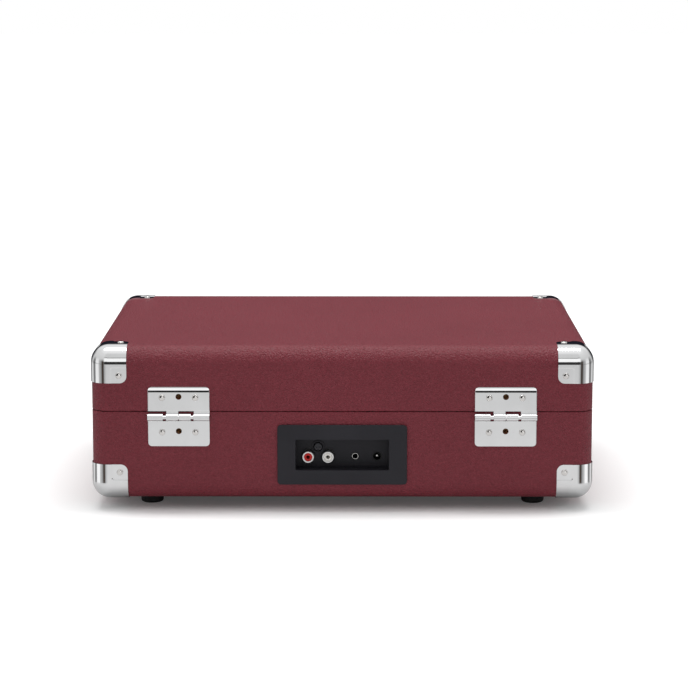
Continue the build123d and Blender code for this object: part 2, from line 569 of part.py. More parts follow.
def platter():
    """The platter: a disc with a shallow mat recess, a hub, and the ring that the belt runs on."""
    disc = rod_z(SPINDLE_X, SPINDLE_Y, (PLATTER_LOW, PLATTER_TOP + 0.6), PLATTER_R)
    disc = fillet(disc.edges().group_by(Axis.Z)[-1], 1.2)
    disc = chamfer(disc.edges().group_by(Axis.Z)[0], 1.5)
    disc -= rod_z(SPINDLE_X, SPINDLE_Y, (PLATTER_TOP, PLATTER_TOP + 3), MAT_R + 0.5)
    disc += rod_z(SPINDLE_X, SPINDLE_Y, (64.5, PLATTER_LOW), 11.0)
    ring = rod_z(SPINDLE_X, SPINDLE_Y, (61.0, PLATTER_LOW), RING_R)
    ring -= rod_z(SPINDLE_X, SPINDLE_Y, (60.0, PLATTER_LOW), RING_R - RING_T)
    return disc + ring - rod_z(SPINDLE_X, SPINDLE_Y, (60, 80), SHAFT_R + HOLE)


def spindle():
    """The spindle: a shaft in the bush below, and above the mat the thinner pin for the record."""
    pin = rod_z(SPINDLE_X, SPINDLE_Y, (60.0, SPINDLE_TOP), SPINDLE_R)
    pin = fillet(pin.edges().group_by(Axis.Z)[-1], 2.6)
    return pin + rod_z(SPINDLE_X, SPINDLE_Y, (44.0, PLATTER_TOP + MAT_T), SHAFT_R)


def spindle_bush():
    bush = rod_z(SPINDLE_X, SPINDLE_Y, (42.0, 60.5), BUSH_R)
    bush += rod_z(SPINDLE_X, SPINDLE_Y, (TUB_TOP - DECK_T - 2, TUB_TOP - DECK_T), 10.0)
    return bush - rod_z(SPINDLE_X, SPINDLE_Y, (43.5, 65.0), SHAFT_R + RUN)


def belt_outline(ring_r, pulley_r):
    """The face inside a belt that hugs both wheels."""
    wheels = Pos(SPINDLE_X, SPINDLE_Y) * Circle(ring_r) + Pos(MOTOR_X, MOTOR_Y) * Circle(pulley_r)
    return make_hull(wheels.edges())


def drive_belt():
    inner = belt_outline(RING_R + BELT_GAP, PULLEY_R + BELT_GAP)
    outer = belt_outline(RING_R + BELT_GAP + BELT_T, PULLEY_R + BELT_GAP + BELT_T)
    tall = BELT_HIGH - BELT_LOW
    return Pos(0, 0, BELT_LOW) * (extrude(outer, tall) - extrude(inner, tall))


def motor_can():
    top = TUB_TOP - DECK_T - 2.0
    can = rod_z(MOTOR_X, MOTOR_Y, (top - MOTOR_H, top), MOTOR_R)
    can = fillet(can.edges().group_by(Axis.Z)[0], 2.0)
    can += rod_z(MOTOR_X, MOTOR_Y, (top, top + 3.0), 5.0)
    for x, y in MOTOR_SCREWS:
        can -= rod_z(x, y, (top - 6, top + 1), 1.4 + HOLE)
    return can - rod_z(MOTOR_X, MOTOR_Y, (top - 12, top + 4), 1.0 + RUN)


def motor_grommets():
    top = TUB_TOP - DECK_T
    return [rod_z(x, y, (top - 2, top), 3.6) - rod_z(x, y, (top - 3, top + 1), 1.4 + HOLE)
            for x, y in MOTOR_SCREWS]


def motor_pulley():
    shaft_low = TUB_TOP - DECK_T - 2.0 - 10
    wheel = rod_z(MOTOR_X, MOTOR_Y, (60.0, 69.0), PULLEY_R)
    for low in (61.0, 68.0):
        wheel += rod_z(MOTOR_X, MOTOR_Y, (low, low + 1.0), PULLEY_R + 1.4)
    return wheel + rod_z(MOTOR_X, MOTOR_Y, (shaft_low, 61.0), 1.0)


def knob(x, y):
    """A fluted control knob with a pointer groove and a stem through the deck."""
    body = rod_z(x, y, (DECK_TOP + 0.4, DECK_TOP + 0.4 + KNOB_H), KNOB_R)
    body = fillet(body.edges().group_by(Axis.Z)[-1], 1.2)
    flutes = 18
    for i in range(flutes):
        a = math.radians(360 / flutes * i)
        reach = KNOB_R + 0.55
        body -= rod_z(x + reach * math.cos(a), y + reach * math.sin(a), (DECK_TOP + 1.6, DECK_TOP + 12), 0.9)
    body -= block((x - 0.5, x + 0.5), (y + 2.5, y + KNOB_R + 1), (DECK_TOP + KNOB_H - 0.1, DECK_TOP + 12))
    return body + rod_z(x, y, (AMP_Z + 9.0, DECK_TOP + 1), 3.0)


def slide_cap(x, y):
    """A switch cap with a ribbed top, and the stem that goes through its slot."""
    cap = slab_z(x, y, 7.0, 5.6, (DECK_TOP + 0.3, DECK_TOP + 3.6), 1.0)
    for dx in (-2, 0, 2):
        cap -= block((x + dx - 0.4, x + dx + 0.4), (y - 4, y + 4), (DECK_TOP + 3.0, DECK_TOP + 5))
    return cap + block((x - 1.5, x + 1.5), (y - 1.4, y + 1.4), (DECK_TOP - 5, DECK_TOP + 0.5))


def slide_switch(x, y, length):
    """A slide switch under the deck, open on top for the stem of its cap."""
    top = DECK_TOP - DECK_T
    body = block((x - length / 2, x + length / 2), (y - 4, y + 4), (top - 7, top))
    return body - block((x - length / 2 + 1.5, x + length / 2 - 1.5), (y - 2, y + 2), (top - 4, top + 1))


def amp_board():
    """The amplifier board under the controls, with its two potentiometers, a heat sink and a capacitor."""
    board = block((72, 150), (CASE_Y - 118, CASE_Y - 76), (AMP_Z, AMP_Z + 1.6))
    pots = [rod_z(x, y, (AMP_Z + 1.6, AMP_Z + 8.6), 8.0) for x, y in KNOBS]
    sink = block((128, 146), (CASE_Y - 96, CASE_Y - 84), (AMP_Z + 1.6, AMP_Z + 8))
    capacitor = rod_z(100, CASE_Y - 84, (AMP_Z + 1.6, AMP_Z + 9), 4.0)
    return [board, *pots, sink, capacitor]


def phones_jack():
    top = DECK_TOP + 0.4
    body = rod_z(PHONES_X, PHONES_Y, (DECK_TOP - DECK_T - 9, top), 3.0)
    body += rod_z(PHONES_X, PHONES_Y, (DECK_TOP - DECK_T - 9, DECK_TOP - DECK_T), 5.0)
    return body - rod_z(PHONES_X, PHONES_Y, (DECK_TOP - DECK_T - 7.5, top + 1), 1.8)


def power_light():
    lamp = rod_z(LED_X, LED_Y, (DECK_TOP - DECK_T - 3, DECK_TOP + 0.8), 1.5)
    return fillet(lamp.edges().group_by(Axis.Z)[-1], 0.7)


def adapter_45():
    """The large-hole adapter: a stepped disc with a spindle hole."""
    disc = rod_z(ADAPTER_X, ADAPTER_Y, (WELL_TOP, WELL_TOP + 3), ADAPTER_R)
    disc += rod_z(ADAPTER_X, ADAPTER_Y, (WELL_TOP + 3, WELL_TOP + 7), ADAPTER_R - 2.5)
    disc = fillet(disc.edges().group_by(Axis.Z)[-1], 0.8)
    disc -= rod_z(ADAPTER_X, ADAPTER_Y, (WELL_TOP + 5, WELL_TOP + 9), 13.0)
    disc += rod_z(ADAPTER_X, ADAPTER_Y, (WELL_TOP + 3, WELL_TOP + 7), 6.0)
    return disc - rod_z(ADAPTER_X, ADAPTER_Y, (WELL_TOP - 1, WELL_TOP + 9), 3.65)


# ---- Tonearm ----
CHEEK_IN, CHEEK_OUT, CHEEK_D = 7.6, 10.4, 12.0
CUE_Y, CUE_Z = ARM_Y - 22.0, 77.0
CUE_X = ARM_X + 18.0


def tonearm_base():
    """The tonearm's stand on the deck, with the bore of its upright pivot."""
    stand = rod_z(ARM_X, ARM_Y, (DECK_TOP, DECK_TOP + 6), 19.0)
    stand = fillet(stand.edges().group_by(Axis.Z)[-1], 1.5)
    stand += rod_z(ARM_X, ARM_Y, (58.0, DECK_TOP), 6.9)
    return stand - rod_z(ARM_X, ARM_Y, (50.0, DECK_TOP + 8), 4.0 + RUN)


def cue_bracket():
    """The two ears that the cueing lever turns in."""
    foot = slab_z(CUE_X, CUE_Y, 13.0, 10.0, (DECK_TOP, DECK_TOP + 1.5), 1.0)
    for low, high in ((-5.5, -3.5), (3.5, 5.5)):
        ear = block((CUE_X + low, CUE_X + high), (CUE_Y - 3, CUE_Y + 3), (DECK_TOP + 1, CUE_Z))
        foot += ear + rod_x((CUE_X + low, CUE_X + high), CUE_Y, CUE_Z, 3.0)
    return foot - rod_x((CUE_X - 8, CUE_X + 8), CUE_Y, CUE_Z, 1.2 + RUN)


def cue_lever():
    hub = rod_x((CUE_X - 3.2, CUE_X + 3.2), CUE_Y, CUE_Z, 2.8)
    arm = block((CUE_X - 1.6, CUE_X + 1.6), (CUE_Y - 22, CUE_Y), (CUE_Z - 0.2, CUE_Z + 2.0))
    tip = rod_z(CUE_X, CUE_Y - 22, (CUE_Z - 0.2, CUE_Z + 2.0), 3.2)
    tip = fillet(tip.edges().group_by(Axis.Z)[-1], 0.8)
    return hub + arm + tip + rod_x((CUE_X - 5.4, CUE_X + 5.4), CUE_Y, CUE_Z, 1.2)


def lift_bar():
    """The curved bar that raises the arm at any angle, on a post that slides through the deck."""
    top = ARM_Z - TUBE_R - LIFT_GAP
    start, sweep_angle = -8.0, 64.0        # from straight ahead, towards the platter
    arc_r_in, arc_r_out = LIFT_REACH - 2.2, LIFT_REACH + 2.2
    ring = rod_z(0, 0, (top - 2.2, top), arc_r_out) - rod_z(0, 0, (top - 3, top + 1), arc_r_in)
    points = [(0, 0)] + [(-80 * math.sin(math.radians(start + sweep_angle * i / 4)),
                          -80 * math.cos(math.radians(start + sweep_angle * i / 4))) for i in range(5)]
    sector = extrude(Pos(0, 0, top - 5) * make_face(Polyline(*points, close=True)), 10)
    return Pos(ARM_X, ARM_Y, 0) * (ring & sector) + rod_z(*LIFT_POST, (56.0, top - 1), 2.5)


def arm_gimbal():
    """The yoke that turns in the stand and carries the arm's level pivot between its cheeks."""
    yoke = rod_z(ARM_X, ARM_Y, (DECK_TOP + 6.3, DECK_TOP + 9.3), 13.0)
    yoke += rod_z(ARM_X, ARM_Y, (59.0, DECK_TOP + 7), 4.0)
    for side in (-1, 1):
        low, high = sorted((ARM_X + side * CHEEK_IN, ARM_X + side * CHEEK_OUT))
        cheek = block((low, high), (ARM_Y - CHEEK_D / 2, ARM_Y + CHEEK_D / 2), (DECK_TOP + 8, ARM_Z))
        yoke += cheek + rod_x((low, high), ARM_Y, ARM_Z, CHEEK_D / 2)
    return yoke - rod_x((ARM_X - 20, ARM_X + 20), ARM_Y, ARM_Z, 1.5 + RUN)


def arm_tube():
    """The arm's tube with its pivot block, cross pin and rear stub."""
    front = ARM_Y - ARM_LENGTH + 34.0
    pivot = block((ARM_X - 7.1, ARM_X + 7.1), (ARM_Y - 8, ARM_Y + 8), (ARM_Z - 5.5, ARM_Z + 5.5))
    pivot = fillet(pivot.edges().filter_by(Axis.X), 2.0)
    pivot += rod_x((ARM_X - 10.2, ARM_X + 10.2), ARM_Y, ARM_Z, 1.5)
    tube = rod_y(ARM_X, (front, ARM_Y - 7.5), ARM_Z, TUBE_R)
    tube -= rod_y(ARM_X, (front - 1, ARM_Y - 9), ARM_Z, TUBE_R - 0.8)
    return pivot + tube + rod_y(ARM_X, (ARM_Y + 7.5, ARM_Y + 12.0), ARM_Z, 3.0)


def counterweight():
    weight = rod_y(ARM_X, (ARM_Y + 8.6, ARM_Y + 21.5), ARM_Z, 8.0)
    weight = fillet(weight.edges().filter_by(GeomType.CIRCLE), 1.0)
    return weight - rod_y(ARM_X, (ARM_Y + 8, ARM_Y + 12.1), ARM_Z, 3.0 + HOLE)


HEAD_BACK = ARM_Y - ARM_LENGTH + 34.0
STYLUS_Y = ARM_Y - ARM_LENGTH


def headshell():
    """A tapered plate with a socket for the tube and a finger lift."""
    right = [(5.0, HEAD_BACK + 4), (5.0, HEAD_BACK - 4), (8.5, HEAD_BACK - 14), (8.5, STYLUS_Y - 6),
             (6.0, STYLUS_Y - 9)]
    left = [(-x, y) for x, y in reversed(right)]
    plate = extrude(Pos(ARM_X, 0, ARM_Z - 1.0) * make_face(Polyline(*right, *left, close=True)), 2.4)
    tube_bore = rod_y(ARM_X, (HEAD_BACK, HEAD_BACK + 5), ARM_Z, TUBE_R + HOLE)
    socket = rod_y(ARM_X, (HEAD_BACK - 6, HEAD_BACK + 4), ARM_Z, 5.4) - tube_bore
    plate -= tube_bore
    lift = block((ARM_X + 8.3, ARM_X + 14.5), (STYLUS_Y + 2, STYLUS_Y + 6.5), (ARM_Z - 0.8, ARM_Z + 0.4))
    lift = fillet(lift.edges().filter_by(Axis.Z).sort_by(Axis.X)[-2:], 2.0)
    return plate + socket + lift


def cartridge():
    body = block((ARM_X - 6.5, ARM_X + 6.5), (STYLUS_Y - 6, STYLUS_Y + 14), (STYLUS_Z + 3.6, ARM_Z - 1.0))
    body = chamfer(body.edges().filter_by(Axis.X).group_by(Axis.Z)[0], 1.5)
    return fillet(body.edges().filter_by(Axis.Z), 0.8)


def stylus():
    """The removable stylus holder, its cantilever and its tip."""
    top = STYLUS_Z + 3.5
    holder = block((ARM_X - 4.2, ARM_X + 4.2), (STYLUS_Y - 3.5, STYLUS_Y + 10), (top - 1.6, top))
    holder = chamfer(holder.edges().filter_by(Axis.X).group_by(Axis.Z)[0], 0.7)
    tip = Pos(ARM_X, STYLUS_Y, STYLUS_Z + 1.0) * Cone(0.1, 0.5, 2.0)
    return holder + tip


REST_Y = ARM_Y - REST_REACH
CLIP_X, CLIP_Z = ARM_X + 6.2, ARM_Z + 5.2


def arm_rest():
    """The post that the arm lies on when parked, with a tall outer side that carries the clip."""
    post = rod_z(ARM_X, REST_Y, (DECK_TOP, DECK_TOP + 2), 7.0)
    post = fillet(post.edges().group_by(Axis.Z)[-1], 0.8)
    seat_z = ARM_Z - TUBE_R - 0.3
    post += slab_z(ARM_X + 0.5, REST_Y, 7.0, 6.0, (DECK_TOP + 1, seat_z - 3), 1.5)
    post += block((ARM_X - 4.5, ARM_X + 8), (REST_Y - 3.5, REST_Y + 3.5), (seat_z - 4, seat_z))
    for dy in (-2.4, 2.4):
        post += block((ARM_X + 4.6, ARM_X + 8), (REST_Y + dy - 1.1, REST_Y + dy + 1.1), (seat_z - 1, CLIP_Z))
        post += rod_y(CLIP_X, (REST_Y + dy - 1.1, REST_Y + dy + 1.1), CLIP_Z, 1.7)
    return post - rod_y(CLIP_X, (REST_Y - 5, REST_Y + 5), CLIP_Z, 0.8 + RUN)


def arm_clip():
    """The clip that folds over the parked arm, standing open."""
    hub = rod_y(CLIP_X, (REST_Y - 1.1, REST_Y + 1.1), CLIP_Z, 1.5)
    strip = block((CLIP_X + 0.1, CLIP_X + 1.3), (REST_Y - 1.1, REST_Y + 1.1), (CLIP_Z, CLIP_Z + 11.5))
    hook = block((CLIP_X - 3.4, CLIP_X + 1.3), (REST_Y - 1.1, REST_Y + 1.1), (CLIP_Z + 11.2, CLIP_Z + 12.2))
    return hub + strip + hook + rod_y(CLIP_X, (REST_Y - 3.4, REST_Y + 3.4), CLIP_Z, 0.8)


# ---- Feet ----
FOOT_X, FOOT_IN, FOOT_R = 137.0, 33.0, 8.1
FEET = [(sx * FOOT_X, CASE_Y + sy * (CASE_D / 2 - FOOT_IN)) for sx in (-1, 1) for sy in (-1, 1)]


def foot(x, y):
    """A moulded rubber foot with a rounded sole and a recess for its screw's head."""
    body = rod_z(x, y, (0, FOOT_H), FOOT_R)
    body = fillet(body.edges().group_by(Axis.Z)[0], 2.0)
    body -= rod_z(x, y, (-1, 4.0), 3.6)
    return body - rod_z(x, y, (0, FOOT_H + 1), 1.4 + HOLE)


def foot_screw(x, y):
    return cross_screw(x, y, 4.0, "-z", length=7.4)


# ---- Build ----
def latch_rivets(z):
    return [(side * LATCH_X + x, FRONT - LATCH_T, z, "-y")
            for side in (-1, 1) for x in (-LATCH_RIVET_X, LATCH_RIVET_X)]


def build_case():
    base_core, base_skin = covered_half(CASE_BOTTOM, BASE_RIM, FLOOR_T)
    lid_core, lid_skin = covered_half(CASE_TOP, LID_RIM, LID_TOP_T)
    base_corners = four_corners(corner_blank(CASE_BOTTOM, BASE_RIM))
    lid_corners = four_corners(corner_blank(CASE_TOP, LID_RIM))

    handle_spots = [(side * HANDLE_X, FRONT - 1.2, HANDLE_Z + dz, "-y")
                    for side in (-1, 1) for dz in (-8, 8)]
    plate_spots = latch_rivets(PLATE_RIVET_Z)
    strike_spots = latch_rivets(STRIKE_RIVET_Z)
    base_spots = corner_rivets(CASE_BOTTOM, 1) + hinge_rivets(False) + plate_spots + handle_spots
    lid_spots = corner_rivets(CASE_TOP, -1) + hinge_rivets(True) + strike_spots
    base_holes = [rivet_hole(*spot) for spot in base_spots]
    lid_holes = [rivet_hole(*spot) for spot in lid_spots]

    tub_w, tub_h = RECESS_W + 2 * PANEL_T + 0.4, RECESS_H + 2 * PANEL_T + 0.4
    wall_cuts = [slab_y(0, BEZEL_Z, tub_w, tub_h, (BACK - 20, BACK + 1), 1.2)]
    wall_cuts += [sound_hole(side, (FRONT - 1, FRONT + 20)) for side in (-1, 1)]
    foot_holes = [screw_hole(x, y, 4.0, "-z", 7.5) for x, y in FEET]
    save("base_box", base_core - base_holes - wall_cuts - foot_holes - spare_holes(False))
    save("base_covering", base_skin - base_holes - wall_cuts - foot_holes - spare_holes(False))
    save("base_corners", *[piece - base_holes for piece in base_corners])
    save("base_rivets", *[rivet(*spot) for spot in base_spots])
    save("lid_box", lid_core - lid_holes - spare_holes(True))
    save("lid_covering", lid_skin - lid_holes - spare_holes(True))
    save("lid_corners", *[piece - lid_holes for piece in lid_corners])
    save("lid_rivets", *[rivet(*spot) for spot in lid_spots])
    lining_low = LID_RIM + TURN_IN
    lining = inner_box(INNER, (lining_low, CEILING + LINING))
    lining -= inner_box(INNER + LINING, (lining_low - 1, CEILING), CAVITY_R - LINING)
    save("lid_lining", lining)
    save("feet", *[foot(x, y) for x, y in FEET])

    plates = [Pos(side * LATCH_X, 0, 0) * latch_plate() - base_holes for side in (-1, 1)]
    strikes = [Pos(side * LATCH_X, 0, 0) * latch_strike() - lid_holes for side in (-1, 1)]
    save("latch_plates", *plates)
    save("latch_strikes", *strikes)
    save("handle_brackets", *[piece - base_holes for piece in on_both_sides(handle_bracket())])


def build_hardware():
    at_hinges = [Pos(side * HINGE_X, 0, 0) for side in (-1, 1)]
    save("hinge_leaves_base", *[at * hinge_leaf(False) for at in at_hinges])
    save("hinge_leaves_lid", *[at * hinge_leaf(True) for at in at_hinges])
    for side, name in ((-1, "left"), (1, "right")):
        save(f"latch_hasp_{name}", Pos(side * LATCH_X, 0, 0) * latch_hasp())
    half = HINGE_W / 2
    pins = [rod_x((side * HINGE_X - half, side * HINGE_X + half), HINGE_Y, HINGE_Z, PIN_R)
            for side in (-1, 1)]
    half = LATCH_W / 2 + 0.3
    pins += [rod_x((side * LATCH_X - half, side * LATCH_X + half), FRONT - HASP_AXIS_OFF, HASP_AXIS_Z, 1.0)
             for side in (-1, 1)]
    save("pivot_pins", *pins)
    save("handle_frame", handle_frame())
    save("handle_grip", handle_grip())


def build_jacks():
    save("jack_bezel", jack_bezel())
    save("rca_block", rca_block())
    save("rca_sleeves", *[rca_sleeve(x) for x in RCA_X])
    save("rca_insulator_red", rca_insulator(RCA_X[0]))
    save("rca_insulator_white", rca_insulator(RCA_X[1]))
    save("audio_jacks", aux_jack(), phones_jack())
    save("dc_jack", dc_jack())


def build_deck():
    save("deck_plate", deck_plate())
    save("deck_battens", *on_both_sides(deck_batten()))
    tops = [cross_screw(x, y, DECK_TOP, "+z") for x, y in DECK_SCREWS]
    inner = [cross_screw(x, y, TUB_TOP, "+z", length=8.5) for x, y in MOTOR_SCREWS]
    panel_y = BACK - RECESS_DEEP
    jack = cross_screw(PANEL_SCREW_X, panel_y, PANEL_SCREW_Z, "+y", head_r=3.2, head_h=2.0)
    save("screws", *[foot_screw(x, y) for x, y in FEET], *tops, *inner, jack)
    save("platter", platter())
    mat = rod_z(SPINDLE_X, SPINDLE_Y, (PLATTER_TOP, PLATTER_TOP + MAT_T), MAT_R)
    save("slipmat", mat - rod_z(SPINDLE_X, SPINDLE_Y, (70, 80), SHAFT_R + 0.2))
    save("spindle", spindle())
    save("spindle_bush", spindle_bush())
    save("drive_belt", drive_belt())
    save("motor_can", motor_can())
    save("motor_grommets", *motor_grommets())
    save("motor_pulley", motor_pulley())
    save("volume_knob", knob(*KNOBS[0]))
    save("source_knob", knob(*KNOBS[1]))
    save("speed_slide", slide_cap(SPEED_X - 6.0, SPEED_Y))
    save("auto_stop_slide", slide_cap(AUTO_X - 3.0, AUTO_Y))
    switches = [slide_switch(SPEED_X, SPEED_Y, 22.0), slide_switch(AUTO_X, AUTO_Y, 16.0)]
    save("circuit_boards", *amp_board(), jack_board(), *switches)
    save("power_light", power_light())
    save("adapter_45", adapter_45())


def build_speakers():
    save("speaker_grilles", *[speaker_grille(side) for side in (-1, 1)])
    magnets = [speaker_magnet(side) for side in (-1, 1)]
    save("speaker_frames", *[speaker_frame(side) for side in (-1, 1)], *magnets)
    save("speaker_cones", *[speaker_cone(side) for side in (-1, 1)])


def build_tonearm():
    save("tonearm_base", tonearm_base())
    save("cue_bracket", cue_bracket())
    save("cue_lever", cue_lever())
    save("lift_bar", lift_bar())
    save("arm_gimbal", arm_gimbal())
    save("arm_tube", arm_tube())
    save("counterweight", counterweight())
    save("headshell", headshell())
    save("cartridge", cartridge())
    save("stylus", stylus())
    save("arm_rest", arm_rest())
    save("arm_clip", arm_clip())


build_case()
build_hardware()
build_jacks()
build_deck()
build_speakers()
build_tonearm()
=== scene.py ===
"""Looks of the suitcase record player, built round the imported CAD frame. Metres, in the row frame."""
import math

import bpy
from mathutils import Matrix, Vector

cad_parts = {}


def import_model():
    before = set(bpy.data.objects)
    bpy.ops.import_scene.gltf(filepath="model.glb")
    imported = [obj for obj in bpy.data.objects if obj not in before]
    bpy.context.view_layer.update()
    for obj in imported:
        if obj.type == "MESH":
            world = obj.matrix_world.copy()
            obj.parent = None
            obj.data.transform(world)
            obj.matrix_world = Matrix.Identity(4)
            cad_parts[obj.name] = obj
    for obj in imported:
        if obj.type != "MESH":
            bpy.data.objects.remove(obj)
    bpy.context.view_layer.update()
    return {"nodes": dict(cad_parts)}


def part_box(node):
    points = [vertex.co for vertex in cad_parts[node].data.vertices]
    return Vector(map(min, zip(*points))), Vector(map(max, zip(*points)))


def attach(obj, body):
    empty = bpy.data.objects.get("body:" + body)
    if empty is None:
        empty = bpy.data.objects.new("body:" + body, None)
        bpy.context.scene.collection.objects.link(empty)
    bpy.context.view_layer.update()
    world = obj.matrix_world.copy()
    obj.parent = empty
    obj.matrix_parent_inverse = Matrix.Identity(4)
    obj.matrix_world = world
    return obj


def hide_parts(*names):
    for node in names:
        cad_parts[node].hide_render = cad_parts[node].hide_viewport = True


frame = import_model()
nodes = frame["nodes"]


# ---------- node helpers ----------
class Nodes:
    """Short calls for the nodes of one tree."""

    def __init__(self, tree):
        self.nt = tree

    def link(self, a, b):
        self.nt.links.new(a, b)

    def put(self, value, socket):
        """Links an output to a socket, or sets the socket to a number or a grey."""
        if not isinstance(value, (int, float)):
            self.link(value, socket)
        elif socket.type == "RGBA":
            socket.default_value = (value, value, value, 1)
        else:
            socket.default_value = value

    def split(self, vector):
        node = self.nt.nodes.new("ShaderNodeSeparateXYZ")
        self.link(vector, node.inputs[0])
        return node.outputs["X"], node.outputs["Y"], node.outputs["Z"]

    def math(self, op, a, b=0.5, clamp=False):
        node = self.nt.nodes.new("ShaderNodeMath")
        node.operation = op
        node.use_clamp = clamp
        for socket, value in zip(node.inputs, (a, b)):
            self.put(value, socket)
        return node.outputs[0]

    def spread(self, fac, low, high, from_low=0.0, from_high=1.0):
        node = self.nt.nodes.new("ShaderNodeMapRange")
        node.inputs["From Min"].default_value = from_low
        node.inputs["From Max"].default_value = from_high
        node.inputs["To Min"].default_value = low
        node.inputs["To Max"].default_value = high
        self.link(fac, node.inputs["Value"])
        return node.outputs["Result"]

    def ramp(self, fac, stops):
        """A ramp through colours; a colour given as one number is a grey."""
        node = self.nt.nodes.new("ShaderNodeValToRGB")
        ramp = node.color_ramp
        while len(ramp.elements) < len(stops):
            ramp.elements.new(0.5)
        for element, (at, colour) in zip(ramp.elements, stops):
            element.position = at
            element.color = (colour, colour, colour, 1) if isinstance(colour, float) else (*colour, 1)
        self.link(fac, node.inputs["Fac"])
        return node.outputs["Color"]

    def mix(self, fac, one, two):
        node = self.nt.nodes.new("ShaderNodeMix")
        node.data_type = "RGBA"
        for name, value in (("Factor", fac), ("A", one), ("B", two)):
            self.put(value, node.inputs[name])
        return node.outputs["Result"]

    def ray_is(self, kind):
        return self.nt.nodes.new("ShaderNodeLightPath").outputs[kind]


class Shader(Nodes):
    """A material built on one Principled BSDF, with its textures in the object's own space."""

    def __init__(self, name):
        self.mat = bpy.data.materials.new(name)
        self.mat.use_nodes = True
        super().__init__(self.mat.node_tree)
        self.bsdf = self.nt.nodes["Principled BSDF"]
        self.place = self.nt.nodes.new("ShaderNodeTexCoord").outputs["Object"]

    def set(self, **values):
        for key, value in values.items():
            self.bsdf.inputs[key.replace("_", " ")].default_value = value
        return self

    def scaled(self, x, y, z):
        node = self.nt.nodes.new("ShaderNodeMapping")
        node.inputs["Scale"].default_value = (x, y, z)
        self.link(self.place, node.inputs["Vector"])
        return node.outputs["Vector"]

    def noise(self, scale, detail=3.0, rough=0.55, distortion=0.0, vector=None):
        node = self.nt.nodes.new("ShaderNodeTexNoise")
        node.inputs["Scale"].default_value = scale
        node.inputs["Detail"].default_value = detail
        node.inputs["Roughness"].default_value = rough
        node.inputs["Distortion"].default_value = distortion
        self.link(vector or self.place, node.inputs["Vector"])
        return node.outputs["Fac"]

    def pebbles(self, scale, smooth, vector):
        node = self.nt.nodes.new("ShaderNodeTexVoronoi")
        node.feature = "SMOOTH_F1"
        node.inputs["Scale"].default_value = scale
        node.inputs["Smoothness"].default_value = smooth
        self.link(vector, node.inputs["Vector"])
        return node.outputs["Distance"]

    def colour(self, fac, stops):
        self.link(self.ramp(fac, stops), self.bsdf.inputs["Base Color"])

    def rough(self, fac, low, high, from_low=0.0, from_high=1.0):
        self.link(self.spread(fac, low, high, from_low, from_high), self.bsdf.inputs["Roughness"])

    def bump(self, height, distance, strength=1.0):
        """Adds a bump over whatever bump is there already."""
        node = self.nt.nodes.new("ShaderNodeBump")
        node.inputs["Strength"].default_value = strength
        node.inputs["Distance"].default_value = distance
        self.link(height, node.inputs["Height"])
        normal = self.bsdf.inputs["Normal"]
        if normal.is_linked:
            self.link(normal.links[0].from_socket, node.inputs["Normal"])
        self.link(node.outputs["Normal"], normal)


def srgb(r, g, b):
    """A linear colour from display values of 0 to 255."""
    return tuple((v / 255 / 12.92) if v <= 10 else ((v / 255 + 0.055) / 1.055) ** 2.4 for v in (r, g, b))


# ---------- materials ----------
def leatherette(name, base, dark, light, grain=1.0):
    s = Shader(name)
    pebble = s.pebbles(880 / grain, 0.6, s.scaled(1.0, 1.0, 1.2))
    crease = s.noise(560 / grain, 4.0, 0.62, 0.6)
    fine = s.noise(2200, 2.0)
    broad = s.noise(9.0, 2.0)
    domes = s.math("SUBTRACT", 1.0, pebble)
    shade = s.math("ADD", s.math("MULTIPLY", crease, 0.6), s.math("MULTIPLY", domes, 0.25))
    mottled = s.math("ADD", shade, s.math("MULTIPLY", broad, 0.2))
    s.colour(mottled, [(0.36, dark), (0.55, base), (0.74, light)])
    s.rough(crease, 0.34, 0.46, 0.3, 0.7)
    s.bump(pebble, 0.00052, 0.85)
    s.bump(crease, 0.00072, 0.95)
    s.bump(fine, 0.00006, 0.5)
    return s.set(Specular_IOR_Level=0.26).mat


def chrome(name, base=(0.86, 0.865, 0.87), roughness=0.035, wear=0.05):
    s = Shader(name)
    haze = s.noise(60, 4.0, 0.6)
    scuff = s.noise(700, 3.0, 0.7, 0.4)
    s.colour(haze, [(0.3, tuple(c * 0.93 for c in base)), (0.7, base)])
    s.rough(scuff, roughness, roughness + wear, 0.45, 0.85)
    s.bump(haze, 0.0004, 0.08)
    s.bump(scuff, 0.00001, 0.15)
    return s.set(Metallic=1.0).mat


def brushed(name, base, roughness=0.32, stretch=(1, 1, 40)):
    s = Shader(name)
    hair = s.noise(900, 3.0, 0.7, 0.0, s.scaled(*stretch))
    s.colour(hair, [(0.25, tuple(c * 0.8 for c in base)), (0.75, base)])
    s.rough(hair, roughness - 0.06, roughness + 0.10, 0.3, 0.7)
    s.bump(hair, 0.00003, 0.5)
    return s.set(Metallic=1.0).mat


def plastic(name, base, roughness=0.45, grain=1200, depth=0.00004, light=1.25):
    s = Shader(name)
    speck = s.noise(grain, 3.0, 0.6)
    broad = s.noise(24, 2.0)
    s.colour(broad, [(0.3, base), (0.7, tuple(min(1.0, c * light + 0.002) for c in base))])
    s.rough(speck, roughness - 0.05, roughness + 0.07, 0.3, 0.7)
    s.bump(speck, depth, 0.6)
    return s.set(Specular_IOR_Level=0.3).mat


def rubber(name, base):
    s = Shader(name)
    speck = s.noise(1500, 4.0, 0.7)
    broad = s.noise(50, 2.0)
    s.colour(broad, [(0.3, base), (0.75, tuple(c * 1.5 + 0.004 for c in base))])
    s.rough(speck, 0.62, 0.80, 0.3, 0.7)
    s.bump(speck, 0.00006, 0.6)
    return s.mat


